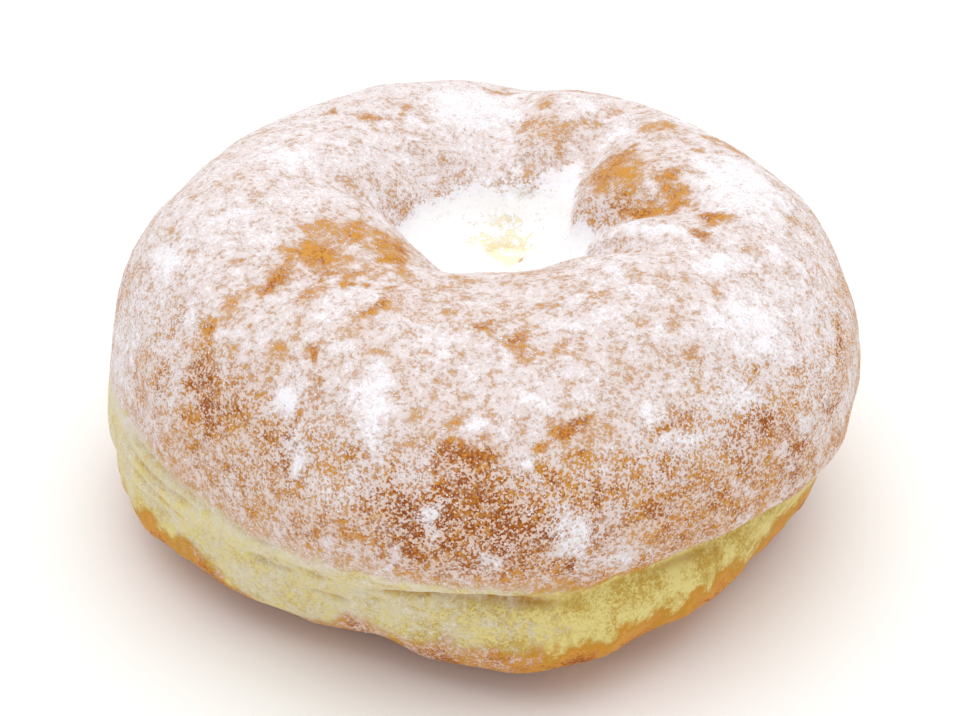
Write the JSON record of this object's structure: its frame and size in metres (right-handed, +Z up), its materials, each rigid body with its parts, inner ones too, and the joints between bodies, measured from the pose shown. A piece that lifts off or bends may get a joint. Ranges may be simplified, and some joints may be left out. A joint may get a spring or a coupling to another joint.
{
  "type": "bean paste doughnut",
  "caption": "Plump filled yeast doughnut with a pressed dimple in its domed top, a pale band round the middle, a browned underside and a dusting of powdered sugar.",
  "frame": {"origin": "middle of the underside, on the surface that the doughnut rests on", "axes": "+Z up through the dimple; the side shown in the picture faces -Y"},
  "size_m": [0.0874, 0.087, 0.0426],
  "materials": {
    "dusted_crust": "matt fried dough with powdered sugar"
  },
  "bodies": {
    "root": {"doughnut": "dusted_crust"}
  },
  "joints": []
}
